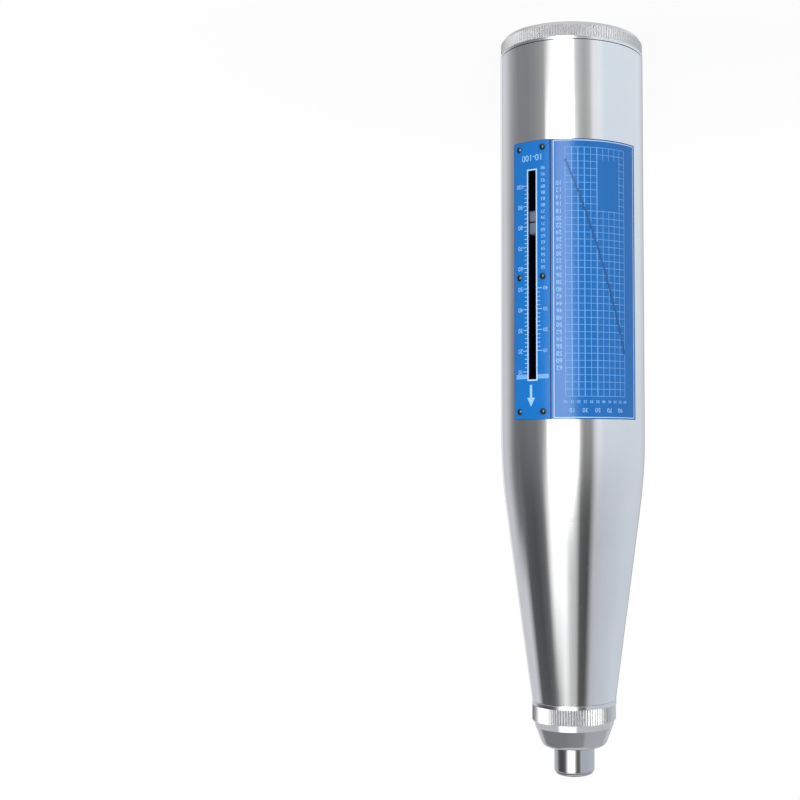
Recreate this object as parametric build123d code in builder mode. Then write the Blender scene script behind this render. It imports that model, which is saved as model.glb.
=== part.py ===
from build123d import *
import os
from math import cos, degrees, radians, sin, sqrt

os.makedirs("parts", exist_ok=True)

# A concrete rebound hammer in millimetres, standing on its rear cap with the plunger up.
# The origin is the centre of the cap's rear face and +Z runs along the barrel to the plunger.
# The reading slot faces -Y, the chart lies from it towards -X, and the lock button faces +Y.

# Fits and gaps
running_fit = 0.1
thread_fit = 0.05
press_gap = 0.02
end_gap = 0.3
rest_gap = 0.1
edge_break = 0.5
seam_break = 0.2

# Barrel
barrel_d = 54.0
barrel_wall = 5.0
taper_len = 84.7
taper_label_gap = 0.65
taper_shift = 8.5
nose_seat_step = 0.05
nose_seat_drop = 2.6
nose_thread_len = 7.5
nose_thread_wall = 1.5
cone_mouth_gap = 0.25

# Rear cap
cap_edge = 1.4
cap_edge_in = 0.5
cap_knurl_h = 4.2
cap_band_h = 1.1
cap_knurl_count = 164
knurl_depth = 0.4
knurl_relief = 0.12
cap_recess_d = 18.0
cap_recess_depth = 4.0
cap_web_t = 6.0
cap_thread_step = 1.2
cap_thread_len = 10.0
cap_thread_wall = 2.2

# Trip screw and its nut
trip_screw_d = 6.0
trip_screw_inset = 0.6
trip_slot_w = 1.0
trip_slot_depth = 1.4
nut_across_flats = 10.0
nut_t = 3.0

# Plunger, bar and flange
stroke = 75.0
plunger_d = 15.0
plunger_show = 11.25
plunger_tip_r = 25.0
plunger_tip_edge = 2.0
plunger_collar_step = 1.5
plunger_collar_t = 4.0
plunger_bore_depth = 40.0
bar_d = 9.0
bar_neck_step = 1.0
flange_t = 8.0
spring_room = 23.0

# Hammer mass
mass_side_gap = 3.0
mass_rim_step = 2.5
mass_rim_t = 4.0
mass_neck_len = 7.0
mass_body_len = 33.9
mass_boss_len = 8.0
mass_rim_room = 2.0

# Pawl
pawl_w = 4.8
pawl_pin_d = 2.0
pawl_pin_len = 13.0
pawl_pivot_out = 2.0
pawl_slot_rim = 1.4
pawl_arm_t = 3.2
pawl_pad = 2.4
pawl_hook_depth = 2.0
pawl_hook_t = 3.6
pawl_hook_gap = 0.4
pawl_tail_x = 1.0
pawl_tail_t = 2.2
pawl_tail_drop = 4.3
pawl_leg_t = 3.4
pawl_slot_gap = 0.2
pawl_slot_out = 3.1
pawl_slot_in = 1.6

# Springs
coil_steps = 14
coil_sides = 6
compression_wire_d = 1.8
compression_turns = 6
compression_gap = 0.8
impact_wire_d = 2.0
impact_turns = 14
impact_len = 61.5
impact_seat_gap = 0.35
buffer_wire_d = 1.0
buffer_turns = 6
buffer_len = 18.0
pawl_spring_wire_d = 0.4
pawl_spring_d = 2.7
pawl_spring_turns = 3
button_wire_d = 0.5
button_turns = 4

# Nose pieces
sleeve_boss_len = 10.0
sleeve_wall = 1.8
sleeve_step = 0.6
split_ring_t = 2.7
split_ring_cut = 0.4
felt_t = 4.0
felt_squeeze = 0.05
nose_cap_seam = 0.1
nose_cap_wall = 2.7
nose_band_h = 1.5
nose_knurl_h = 5.7
nose_knurl_count = 96
nose_lower_band_h = 2.4
nose_lower_band_step = 0.7
nose_lower_band_taper = 0.45
nose_cone_h = 7.3
nose_cone_step = 0.1
nose_cone_inset = 2.75
nose_cone_round = 2.5
nose_mouth_gap = 0.2

# Scale plate and chart
label_z = 43.15
plate_w = 15.6
plate_t = 0.7
plate_offset = 0.8
plate_slot_inset = 10.95
plate_slot_extra = 0.4
plate_slot_w = 3.0
plate_front_margin = 14.55
chart_w = 34.4
chart_t = 0.3
chart_gap = 0.1
glue_t = 0.05
screw_rear_inset = 2.65
screw_front_inset = 2.85
screw_mid_shift = 0.95
screw_spread = 10.0
screw_d = 1.6
screw_len = 4.0
screw_head_d = 2.3
screw_head_t = 0.7
screw_head_edge = 0.15
screw_slot_w = 0.4
screw_slot_depth = 0.3

# Rider
rider_zero_past = 4.8
rider_reading = 82.2
rider_len = 8.4
rider_w = 3.8
rider_side_gap = 0.25
rider_drop = 0.8
rider_line_w = 0.5
rider_line_depth = 0.3
rod_d = 2.0
rod_cover = 2.5
rod_anchor = 6.0
blade_t = 0.5
blade_len = 7.0
blade_w = 3.2
blade_clearance = 0.4
notch_side_gap = 1.1

# Lock button
button_z_gap = 0.3
button_stem_d = 4.8
button_head_d = 7.2
button_collar_d = 8.4
button_collar_t = 1.2
button_travel = 3.0
button_show = 0.6
bush_d = 12.0
bush_rim_d = 14.8
bush_seat_depth = 1.2
bush_floor_t = 1.0
bush_floor_inset = 0.4
bush_lip_t = 0.8

# Radii that follow
barrel_r = barrel_d / 2
bore_r = barrel_r - barrel_wall
cap_knurl_r = barrel_r - knurl_relief
cap_edge_r = cap_knurl_r - knurl_depth - knurl_relief
cap_thread_r = bore_r + cap_thread_step
flange_r = bore_r - running_fit
bar_r = bar_d / 2
bar_neck_r = bar_r - bar_neck_step
bar_hole_r = bar_r + running_fit
mass_r = bore_r - mass_side_gap
plunger_r = plunger_d / 2
collar_r = plunger_r + plunger_collar_step
sleeve_bore_r = collar_r + running_fit
boss_r = sleeve_bore_r + sleeve_wall
impact_outer_r = boss_r + impact_seat_gap + impact_wire_d
cone_mouth_r = impact_outer_r + cone_mouth_gap
front_bore_r = boss_r + sleeve_step
sleeve_r = front_bore_r - thread_fit
nose_thread_r = front_bore_r + nose_thread_wall
nose_band_r = nose_thread_r + nose_cap_wall
nose_knurl_r = nose_band_r - knurl_relief
nose_seat_r = nose_band_r - nose_seat_step

# Heights that follow, from the rear face up
cap_knurl_z = cap_edge + cap_knurl_h
cap_rim_h = cap_knurl_z + cap_band_h
cap_inner_z = cap_recess_depth + cap_web_t
cap_spigot_z = cap_rim_h + cap_thread_len
flange_z = cap_inner_z + spring_room
flange_front_z = flange_z + flange_t
cocked_z = flange_front_z + mass_rim_room
mass_z = cocked_z + stroke
mass_rim_z = mass_z + mass_rim_t
mass_neck_z = mass_rim_z + mass_neck_len
mass_body_z = mass_neck_z + mass_body_len
mass_front_z = mass_body_z + mass_boss_len
plunger_z = mass_front_z + rest_gap
collar_front_z = plunger_z + plunger_collar_t
plunger_bore_z = plunger_z + plunger_bore_depth
bar_front_z = plunger_bore_z - buffer_len
impact_z = mass_body_z + end_gap
impact_front_z = impact_z + impact_len
cone_front_z = impact_front_z + edge_break + end_gap
sleeve_front_z = collar_front_z + stroke
ring_z = sleeve_front_z + rest_gap
ring_front_z = ring_z + split_ring_t
felt_z = ring_front_z + rest_gap
felt_front_z = felt_z + felt_t
nose_seat_z = sleeve_front_z - nose_seat_drop
nose_spigot_z = nose_seat_z + nose_thread_len
nose_cap_z = nose_seat_z + nose_cap_seam
nose_knurl_z = nose_cap_z + nose_band_h
nose_lower_z = nose_knurl_z + nose_knurl_h
nose_cone_z = nose_lower_z + nose_lower_band_h
nose_end_z = nose_cone_z + nose_cone_h
tip_z = nose_end_z + plunger_show
taper_z = nose_seat_z - taper_len
cone_rear_z = taper_z + taper_shift
taper_slope = (barrel_r - nose_seat_r) / taper_len

# Label, rider and button places that follow
plate_from = degrees((-plate_w / 2 - plate_offset) / barrel_r)
plate_to = degrees((plate_w / 2 - plate_offset) / barrel_r)
chart_from = plate_to + degrees(chart_gap / barrel_r)
chart_to = chart_from + degrees(chart_w / barrel_r)
plate_slot_z = label_z + plate_slot_inset
plate_slot_len = stroke + plate_slot_extra
plate_slot_front_z = plate_slot_z + plate_slot_len
label_front_z = plate_slot_front_z + plate_front_margin
label_r = barrel_r + glue_t
taper_blend_len = taper_z - label_front_z - taper_label_gap
screw_heights = (
    label_z + screw_rear_inset,
    (label_z + label_front_z) / 2 - screw_mid_shift,
    label_front_z - screw_front_inset,
)
screw_angles = [degrees((side * screw_spread / 2 - plate_offset) / barrel_r) for side in (-1, 1)]
rider_zero_z = plate_slot_front_z + rider_zero_past
rider_z = rider_zero_z - stroke * rider_reading / 100
rider_slot_z = min(plate_slot_z, rider_zero_z - stroke - rider_len / 2) - end_gap
rider_slot_front_z = rider_zero_z + rider_len / 2 + end_gap
rider_slot_len = rider_slot_front_z - rider_slot_z
rider_slot_mid_z = (rider_slot_z + rider_slot_front_z) / 2
rider_slot_w = rider_w + 2 * rider_side_gap
rider_top_r = barrel_r - rest_gap
rider_bottom_r = bore_r - rider_drop
rod_r = rod_d / 2
rod_at_r = rider_top_r - rod_cover - rod_r
blade_tip_r = mass_r + blade_clearance
button_z = flange_front_z + button_z_gap + button_stem_d / 2
bush_seat_r = barrel_r - bush_seat_depth
bush_floor_r = bore_r + bush_floor_inset
button_spring_r = bush_floor_r + bush_floor_t
button_shut_r = button_spring_r + button_wire_d * button_turns + 2 * rest_gap
button_collar_r = button_shut_r + button_travel
button_collar_top_r = button_collar_r + button_collar_t
bush_lip_r = button_collar_top_r + rest_gap
bush_top_r = bush_lip_r + bush_lip_t
button_top_r = bush_top_r + button_show + button_travel
button_stem_end_r = bore_r + end_gap

# Pawl places that follow, seen in the XZ plane and worked inwards from the flange's rim
pawl_slot_to = flange_r - pawl_slot_rim
pawl_pad_out = pawl_slot_to - pawl_slot_out
pawl_pivot_x = pawl_pad_out - pawl_pad
pawl_pivot_z = (flange_z + flange_front_z) / 2
pawl_pad_in = pawl_pivot_x - pawl_pad
pawl_slot_from = pawl_pad_in - pawl_slot_in
mass_rim_r = pawl_pivot_x - pawl_pivot_out
mass_neck_r = mass_rim_r - mass_rim_step
pawl_arm_in = mass_rim_r + 2 * end_gap
pawl_arm_out = pawl_arm_in + pawl_arm_t
pawl_hook_x = mass_rim_r - pawl_hook_depth
pawl_hook_z = cocked_z + mass_rim_t + pawl_hook_gap
pawl_hook_top_z = pawl_hook_z + pawl_hook_t
pawl_tail_top_z = flange_z - pawl_tail_drop
pawl_tail_z = pawl_tail_top_z - pawl_tail_t
pawl_leg_out = pawl_pad_in + pawl_leg_t
pawl_leg_reach = sqrt(pawl_leg_out**2 + (pawl_w / 2) ** 2)
trip_tip_z = pawl_tail_z - end_gap
pawl_spring_z = flange_front_z - pawl_spring_d / 2 - end_gap


def outline(plane, *points):
    """A closed straight-sided face on a plane."""
    with BuildSketch(plane) as face:
        with BuildLine():
            Polyline(*points, close=True)
        make_face()
    return face.sketch


def turned(*points):
    """A face of radius and height points, to be turned about the barrel's axis."""
    return outline(Plane.XZ, *points)


def facing(angle, height):
    """A plane on the axis that faces straight out, at an angle from the slot towards the chart."""
    out = Vector(-sin(radians(angle)), -cos(radians(angle)), 0)
    return Plane(origin=(0, 0, height), x_dir=(0, 0, 1), z_dir=out)


def wrapped_sheet(thickness, from_angle, to_angle):
    """The upright edge of a curved sheet on the barrel, and the arc that sweeps it round."""
    start = radians(270 - to_angle)
    edge_plane = Plane(
        origin=(0, 0, 0),
        x_dir=(cos(start), sin(start), 0),
        z_dir=(sin(start), -cos(start), 0),
    )
    corners = [
        (label_r, label_z),
        (label_r + thickness, label_z),
        (label_r + thickness, label_front_z),
        (label_r, label_front_z),
    ]
    return outline(edge_plane, *corners), to_angle - from_angle


def knurled_disc(crest_r, count, height):
    """The zigzag outline of a straight knurl, lying at a height."""
    half_step = 180 / count
    radii = (crest_r, crest_r - knurl_depth)
    corners = [
        (radii[i % 2] * cos(radians(i * half_step)), radii[i % 2] * sin(radians(i * half_step)))
        for i in range(2 * count)
    ]
    return outline(Plane.XY.offset(height), *corners)


def coil(mean_r, wire_d, length, turns):
    """One unbroken flat-sided spring wire that climbs from 0 to length along Z."""
    wire_r = wire_d / 2
    steps = round(turns * coil_steps)
    climb = length - wire_d
    slope = climb / (radians(360) * turns * mean_r)
    with BuildPart() as wire:
        for step in range(steps + 1):
            angle = radians(360 * turns * step / steps)
            out = Vector(cos(angle), sin(angle), 0)
            centre = out * mean_r + Vector(0, 0, wire_r + climb * step / steps)
            along = Vector(-sin(angle), cos(angle), slope)
            with BuildSketch(Plane(origin=centre, x_dir=out, z_dir=along)):
                RegularPolygon(wire_r, coil_sides)
        loft(ruled=True)
    print("gap between turns", round(climb / turns - wire_d, 2))
    return wire.part


def finish(piece, name):
    """Name a piece and write its file."""
    piece.part.label = name
    export_step(piece.part, f"parts/{name}.step")


# Barrel: turned outside and inside, with a flowing curve from the straight length into the taper
blend_points = [
    (barrel_r - taper_slope * max(0, along), taper_z + along)
    for along in [share * taper_blend_len for share in (-1, -0.6, -0.2, 0.2, 0.6, 1)]
]
with BuildPart() as housing:
    with BuildSketch(Plane.XZ):
        with BuildLine():
            Bezier(*blend_points)
            Polyline(
                blend_points[-1],
                (nose_seat_r, nose_seat_z),
                (nose_thread_r, nose_seat_z),
                (nose_thread_r, nose_spigot_z),
                (front_bore_r, nose_spigot_z),
                (front_bore_r, cone_front_z),
                (cone_mouth_r, cone_front_z),
                (bore_r, cone_rear_z),
                (bore_r, cap_spigot_z + edge_break),
                (cap_thread_r, cap_spigot_z + edge_break),
                (cap_thread_r, cap_rim_h),
                (barrel_r - seam_break, cap_rim_h),
                (barrel_r, cap_rim_h + seam_break),
                blend_points[0],
            )
        make_face()
    revolve(axis=Axis.Z)
    # Rider slot through the wall
    with BuildSketch(Plane.XZ.offset(bore_r - barrel_wall)):
        with Locations((0, rider_slot_mid_z)):
            Rectangle(rider_slot_w, rider_slot_len)
    extrude(amount=2 * barrel_wall, mode=Mode.SUBTRACT)
    # Blind holes for the rider's rod beyond both ends of the slot
    with BuildSketch(Plane.XY.offset(rider_slot_z - rod_anchor - rest_gap)):
        with Locations((0, -rod_at_r)):
            Circle(rod_r + press_gap)
    extrude(amount=rider_slot_len + 2 * rod_anchor + 2 * rest_gap, mode=Mode.SUBTRACT)
    # Tapped holes for the plate's screws
    for height in screw_heights:
        for angle in screw_angles:
            with BuildSketch(facing(angle, height).offset(barrel_r - screw_len)):
                Circle(screw_d / 2 + press_gap)
            extrude(amount=2 * screw_len, mode=Mode.SUBTRACT)
    # Seat and hole for the button's bush
    with BuildSketch(facing(180, button_z).offset(bush_seat_r)):
        Circle(bush_rim_d / 2 + rest_gap)
    extrude(amount=2 * bush_seat_depth, mode=Mode.SUBTRACT)
    with BuildSketch(facing(180, button_z).offset(bore_r - barrel_wall)):
        Circle(bush_d / 2 + press_gap)
    extrude(amount=2 * barrel_wall, mode=Mode.SUBTRACT)
finish(housing, "housing")

# Rear cap: chamfered edge, straight knurl, plain band, threaded spigot and a recess for the nut
cap_spigot_r = cap_thread_r - thread_fit
with BuildPart() as rear_cap:
    revolve(
        turned(
            (0, 0),
            (cap_edge_r - cap_edge_in, 0),
            (cap_edge_r, cap_edge),
            (0, cap_edge),
        ),
        axis=Axis.Z,
    )
    extrude(knurled_disc(cap_knurl_r, cap_knurl_count, cap_edge), amount=cap_knurl_h)
    revolve(
        turned(
            (0, cap_knurl_z),
            (barrel_r, cap_knurl_z),
            (barrel_r, cap_rim_h - rest_gap),
            (cap_spigot_r, cap_rim_h - rest_gap),
            (cap_spigot_r, cap_spigot_z),
            (cap_spigot_r - cap_thread_wall, cap_spigot_z),
            (cap_spigot_r - cap_thread_wall, cap_inner_z),
            (0, cap_inner_z),
        ),
        axis=Axis.Z,
    )
    with BuildSketch(Plane.XY):
        Circle(cap_recess_d / 2)
    extrude(amount=cap_recess_depth, mode=Mode.SUBTRACT)
    with BuildSketch(Plane.XY):
        Circle(trip_screw_d / 2 + thread_fit)
    extrude(amount=cap_inner_z, mode=Mode.SUBTRACT)
finish(rear_cap, "rear_cap")

# Trip screw: slotted at the rear, bevelled where it meets the pawl's tail
with BuildPart() as trip_screw:
    with BuildSketch(Plane.XY.offset(trip_screw_inset)):
        Circle(trip_screw_d / 2)
    extrude(amount=trip_tip_z - trip_screw_inset)
    chamfer(trip_screw.edges().sort_by(Axis.Z)[-1], edge_break)
    with BuildSketch(Plane.XY.offset(trip_screw_inset)):
        Rectangle(trip_screw_d, trip_slot_w)
    extrude(amount=trip_slot_depth, mode=Mode.SUBTRACT)
finish(trip_screw, "trip_screw")

# Lock nut: a thin hexagon with its corners turned off
nut_corner_r = nut_across_flats / 2 / cos(radians(30))
nut_rear_z = cap_recess_depth - nut_t
with BuildPart() as lock_nut:
    with BuildSketch(Plane.XY.offset(nut_rear_z)):
        RegularPolygon(nut_across_flats / 2, 6, major_radius=False)
        Circle(trip_screw_d / 2 + thread_fit, mode=Mode.SUBTRACT)
    extrude(amount=nut_t)
    revolve(
        turned(
            (0, nut_rear_z),
            (nut_across_flats / 2, nut_rear_z),
            (nut_corner_r, nut_rear_z + (nut_corner_r - nut_across_flats / 2) / 2),
            (nut_corner_r, cap_recess_depth),
            (0, cap_recess_depth),
        ),
        axis=Axis.Z,
        mode=Mode.INTERSECT,
    )
finish(lock_nut, "lock_nut")

# Compression spring: rear cap to flange, round the pawl's leg
compression_mean_r = pawl_leg_reach + compression_gap + compression_wire_d / 2
compression_coil = coil(compression_mean_r, compression_wire_d, spring_room, compression_turns)
with BuildPart() as compression_spring:
    with Locations((0, 0, cap_inner_z)):
        add(compression_coil)
finish(compression_spring, "compression_spring")

# Guide flange: runs in the bore, notched for the rider's blade and slotted for the pawl
pawl_slot_w = pawl_w + 2 * pawl_slot_gap
with BuildPart() as guide_flange:
    revolve(
        turned(
            (bar_neck_r + press_gap, flange_z),
            (flange_r - edge_break, flange_z),
            (flange_r, flange_z + edge_break),
            (flange_r, flange_front_z - edge_break),
            (flange_r - edge_break, flange_front_z),
            (bar_neck_r + press_gap, flange_front_z),
        ),
        axis=Axis.Z,
    )
    with BuildSketch(Plane.XZ.offset(mass_r)):
        with Locations((0, pawl_pivot_z)):
            Rectangle(rider_w + 2 * notch_side_gap, 2 * flange_t)
    extrude(amount=barrel_wall, mode=Mode.SUBTRACT)
    with BuildSketch(Plane.XY.offset(flange_z)):
        with Locations(((pawl_slot_from + pawl_slot_to) / 2, 0)):
            Rectangle(pawl_slot_to - pawl_slot_from, pawl_slot_w)
    extrude(amount=flange_t, mode=Mode.SUBTRACT)
    with BuildSketch(Plane.XZ.offset(-pawl_pin_len / 2 - press_gap)):
        with Locations((pawl_pivot_x, pawl_pivot_z)):
            Circle(pawl_pin_d / 2 + press_gap)
    extrude(amount=pawl_pin_len + 2 * press_gap, mode=Mode.SUBTRACT)
finish(guide_flange, "guide_flange")

# Guide bar: shouldered on the flange, its front end inside the plunger
with BuildPart() as guide_bar:
    revolve(
        turned(
            (0, flange_z),
            (bar_neck_r, flange_z),
            (bar_neck_r, flange_front_z),
            (bar_r, flange_front_z),
            (bar_r, bar_front_z - edge_break),
            (bar_r - edge_break, bar_front_z),
            (0, bar_front_z),
        ),
        axis=Axis.Z,
    )
finish(guide_bar, "guide_bar")

# Pawl pin
with BuildPart() as pawl_pin:
    with BuildSketch(Plane.XZ.offset(-pawl_pin_len / 2)):
        with Locations((pawl_pivot_x, pawl_pivot_z)):
            Circle(pawl_pin_d / 2)
    extrude(amount=pawl_pin_len)
finish(pawl_pin, "pawl_pin")

# Pawl: hook over the mass's rim, pad on the pin, leg and tail down to the trip screw
with BuildPart() as pawl:
    with BuildSketch(Plane.XZ.offset(-pawl_w / 2)):
        with BuildLine():
            Polyline(
                (pawl_hook_x, pawl_hook_z),
                (pawl_hook_x + pawl_hook_depth / 2, pawl_hook_top_z),
                (pawl_arm_out - edge_break, pawl_hook_top_z),
                (pawl_arm_out, pawl_hook_top_z - edge_break),
                (pawl_arm_out, flange_front_z + edge_break),
                (pawl_pad_out, flange_front_z),
                (pawl_pad_out, pawl_pivot_z - pawl_pad),
                (pawl_leg_out, flange_z),
                (pawl_leg_out, pawl_tail_z + edge_break),
                (pawl_leg_out - edge_break, pawl_tail_z),
                (pawl_tail_x, pawl_tail_z),
                (pawl_tail_x, pawl_tail_top_z),
                (pawl_pad_in, pawl_tail_top_z),
                (pawl_pad_in, flange_front_z),
                (pawl_arm_in, flange_front_z + edge_break),
                (pawl_arm_in, pawl_hook_z),
                close=True,
            )
        make_face()
        with Locations((pawl_pivot_x, pawl_pivot_z)):
            Circle(pawl_pin_d / 2 + running_fit / 2, mode=Mode.SUBTRACT)
    extrude(amount=pawl_w)
finish(pawl, "pawl")

# Pawl spring: between the flange and the pad, above the pin
pawl_spring_len = pawl_slot_to - pawl_pad_out - 2 * rest_gap
pawl_spring_mean_r = (pawl_spring_d - pawl_spring_wire_d) / 2
pawl_spring_seat = Plane(origin=(pawl_pad_out + rest_gap, 0, pawl_spring_z), z_dir=(1, 0, 0))
pawl_coil = coil(pawl_spring_mean_r, pawl_spring_wire_d, pawl_spring_len, pawl_spring_turns)
with BuildPart() as pawl_spring:
    with Locations(pawl_spring_seat.location):
        add(pawl_coil)
finish(pawl_spring, "pawl_spring")

# Hammer mass: hook rim, neck, body and the boss that takes the impact spring
with BuildPart() as hammer_mass:
    revolve(
        turned(
            (bar_hole_r, mass_z),
            (mass_rim_r - 2 * edge_break, mass_z),
            (mass_rim_r, mass_z + 2 * edge_break),
            (mass_rim_r, mass_rim_z),
            (mass_neck_r, mass_rim_z),
            (mass_neck_r, mass_neck_z),
            (mass_r - edge_break, mass_neck_z),
            (mass_r, mass_neck_z + edge_break),
            (mass_r, mass_body_z - edge_break),
            (mass_r - edge_break, mass_body_z),
            (boss_r, mass_body_z),
            (boss_r, mass_front_z - edge_break),
            (boss_r - edge_break, mass_front_z),
            (bar_hole_r, mass_front_z),
        ),
        axis=Axis.Z,
    )
finish(hammer_mass, "hammer_mass")

# Impact spring: from the mass's boss to the sleeve's boss
impact_coil = coil(impact_outer_r - impact_wire_d / 2, impact_wire_d, impact_len, impact_turns)
with BuildPart() as impact_spring:
    with Locations((0, 0, impact_z)):
        add(impact_coil)
finish(impact_spring, "impact_spring")

# Guide sleeve: screwed into the nose, it holds the impact spring and guides the plunger's collar
sleeve_z = impact_front_z - sleeve_boss_len + end_gap
with BuildPart() as guide_sleeve:
    revolve(
        turned(
            (sleeve_bore_r, sleeve_z),
            (boss_r, sleeve_z),
            (boss_r, cone_front_z),
            (sleeve_r, cone_front_z),
            (sleeve_r, sleeve_front_z),
            (sleeve_bore_r, sleeve_front_z),
        ),
        axis=Axis.Z,
    )
finish(guide_sleeve, "guide_sleeve")

# Plunger: stepped rod with a domed tip, bored for the guide bar
tip_centre_z = tip_z - plunger_tip_r
tip_edge_z = tip_centre_z + sqrt(plunger_tip_r**2 - plunger_r**2)
with BuildPart() as plunger:
    with BuildSketch(Plane.XZ) as rod:
        with BuildLine():
            Polyline(
                (0, tip_z),
                (0, plunger_bore_z),
                (bar_hole_r, plunger_bore_z),
                (bar_hole_r, plunger_z),
                (collar_r - edge_break, plunger_z),
                (collar_r, plunger_z + edge_break),
                (collar_r, collar_front_z),
                (plunger_r, collar_front_z),
                (plunger_r, tip_edge_z),
            )
            TangentArc((0, tip_z), (plunger_r, tip_edge_z), tangent=(1, 0))
        make_face()
        fillet(rod.vertices().sort_by_distance((plunger_r, tip_edge_z, 0))[0], plunger_tip_edge)
    revolve(axis=Axis.Z)
finish(plunger, "plunger")

# Buffer spring: in the plunger's bore, ahead of the bar
buffer_coil = coil(bar_r - running_fit - buffer_wire_d / 2, buffer_wire_d, buffer_len, buffer_turns)
with BuildPart() as buffer_spring:
    with Locations((0, 0, bar_front_z)):
        add(buffer_coil)
finish(buffer_spring, "buffer_spring")

# Split ring: two halves that keep the plunger's collar in
with BuildPart() as split_ring:
    with BuildSketch(Plane.XY.offset(ring_z)):
        Circle(front_bore_r - running_fit)
        Circle(plunger_r + running_fit, mode=Mode.SUBTRACT)
        Rectangle(2 * front_bore_r, split_ring_cut, mode=Mode.SUBTRACT)
    extrude(amount=split_ring_t)
finish(split_ring, "split_ring")

# Felt seal
with BuildPart() as felt_seal:
    with BuildSketch(Plane.XY.offset(felt_z)):
        Circle(front_bore_r - running_fit)
        Circle(plunger_r + felt_squeeze, mode=Mode.SUBTRACT)
    extrude(amount=felt_t)
finish(felt_seal, "felt_seal")

# Nose cap: band, straight knurl, lower band, cone and a rounded mouth for the plunger
nose_lower_r = nose_band_r - nose_lower_band_step
nose_lower_end_r = nose_lower_r - nose_lower_band_taper
nose_cone_base_r = nose_lower_end_r - nose_cone_step
nose_cone_end_r = nose_cone_base_r - nose_cone_inset
mouth_r = plunger_r + nose_mouth_gap
with BuildPart() as nose_cap:
    revolve(
        turned(
            (0, nose_cap_z),
            (nose_band_r - seam_break, nose_cap_z),
            (nose_band_r, nose_cap_z + seam_break),
            (nose_band_r, nose_knurl_z),
            (0, nose_knurl_z),
        ),
        axis=Axis.Z,
    )
    extrude(knurled_disc(nose_knurl_r, nose_knurl_count, nose_knurl_z), amount=nose_knurl_h)
    with BuildSketch(Plane.XZ) as cone:
        with BuildLine():
            Polyline(
                (0, nose_end_z),
                (0, nose_lower_z),
                (nose_lower_r, nose_lower_z),
                (nose_lower_end_r, nose_cone_z),
                (nose_cone_base_r, nose_cone_z),
                (nose_cone_end_r, nose_end_z),
                close=True,
            )
        make_face()
        cone_corner = cone.vertices().sort_by_distance((nose_cone_end_r, nose_end_z, 0))[0]
        fillet(cone_corner, nose_cone_round)
    revolve(axis=Axis.Z)
    with BuildSketch(Plane.XY.offset(nose_cap_z)):
        Circle(nose_thread_r + thread_fit)
    extrude(amount=nose_spigot_z + rest_gap - nose_cap_z, mode=Mode.SUBTRACT)
    with BuildSketch(Plane.XY.offset(nose_cap_z)):
        Circle(front_bore_r)
    extrude(amount=felt_front_z + rest_gap - nose_cap_z, mode=Mode.SUBTRACT)
    with BuildSketch(Plane.XY.offset(nose_cap_z)):
        Circle(mouth_r)
    extrude(amount=nose_end_z - nose_cap_z, mode=Mode.SUBTRACT)
finish(nose_cap, "nose_cap")

# Scale plate: a curved sheet with the reading slot and six screw holes
plate_edge, plate_span = wrapped_sheet(plate_t, plate_from, plate_to)
with BuildPart() as scale_plate:
    revolve(plate_edge, axis=Axis.Z, revolution_arc=plate_span)
    with BuildSketch(Plane.XZ.offset(bore_r)):
        with Locations((0, plate_slot_z + plate_slot_len / 2)):
            Rectangle(plate_slot_w, plate_slot_len)
    extrude(amount=2 * barrel_wall, mode=Mode.SUBTRACT)
    for height in screw_heights:
        for angle in screw_angles:
            with BuildSketch(facing(angle, height).offset(bore_r)):
                Circle(screw_d / 2 + press_gap)
            extrude(amount=2 * barrel_wall, mode=Mode.SUBTRACT)
finish(scale_plate, "scale_plate")

# Chart sheet beside it
chart_edge, chart_span = wrapped_sheet(chart_t, chart_from, chart_to)
with BuildPart() as chart_plate:
    revolve(chart_edge, axis=Axis.Z, revolution_arc=chart_span)
finish(chart_plate, "chart_plate")

# Plate screws: one slotted round-head screw, set six times with its head on the plate
screw_r = screw_d / 2
screw_head_r = screw_head_d / 2
screw_shank = screw_len - rest_gap + glue_t + plate_t + rest_gap / 2
with BuildPart() as plate_screw:
    with BuildSketch(Plane.XZ):
        with BuildLine():
            TangentArc((0, screw_head_t), (screw_head_r, screw_head_edge), tangent=(1, 0))
            Polyline(
                (screw_head_r, screw_head_edge),
                (screw_head_r, 0),
                (screw_r, 0),
                (screw_r, -screw_shank),
                (0, -screw_shank),
                (0, screw_head_t),
            )
        make_face()
    revolve(axis=Axis.Z)
    with BuildSketch(Plane.XY.offset(screw_head_t)):
        Rectangle(screw_head_d, screw_slot_w)
    extrude(amount=-screw_slot_depth, mode=Mode.SUBTRACT)
head_seat_r = label_r + plate_t + rest_gap / 2
with BuildPart() as plate_screws:
    for height in screw_heights:
        for angle in screw_angles:
            with Locations(facing(angle, height).offset(head_seat_r).location):
                add(plate_screw.part)
finish(plate_screws, "plate_screws")

# Rider's rod, anchored in the wall beyond the slot
with BuildPart() as rider_guide_rod:
    with BuildSketch(Plane.XY.offset(rider_slot_z - rod_anchor)):
        with Locations((0, -rod_at_r)):
            Circle(rod_r)
    extrude(amount=rider_slot_len + 2 * rod_anchor)
finish(rider_guide_rod, "rider_guide_rod")

# Rider: a block on the rod, level with the barrel, with an index line across its face
with BuildPart() as rider:
    with BuildSketch(Plane.XZ.offset(rider_bottom_r)):
        with Locations((0, rider_z)):
            Rectangle(rider_w, rider_len)
    extrude(amount=rider_top_r - rider_bottom_r)
    chamfer(rider.edges().filter_by(Axis.X).group_by(Axis.Y)[0], edge_break)
    with BuildSketch(Plane.XZ.offset(rider_top_r)):
        with Locations((0, rider_z)):
            Rectangle(rider_w, rider_line_w)
    extrude(amount=-rider_line_depth, mode=Mode.SUBTRACT)
    with BuildSketch(Plane.XY.offset(rider_z - rider_len / 2)):
        with Locations((0, -rod_at_r)):
            Circle(rod_r + running_fit / 2)
    extrude(amount=rider_len, mode=Mode.SUBTRACT)
finish(rider, "rider")

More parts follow.
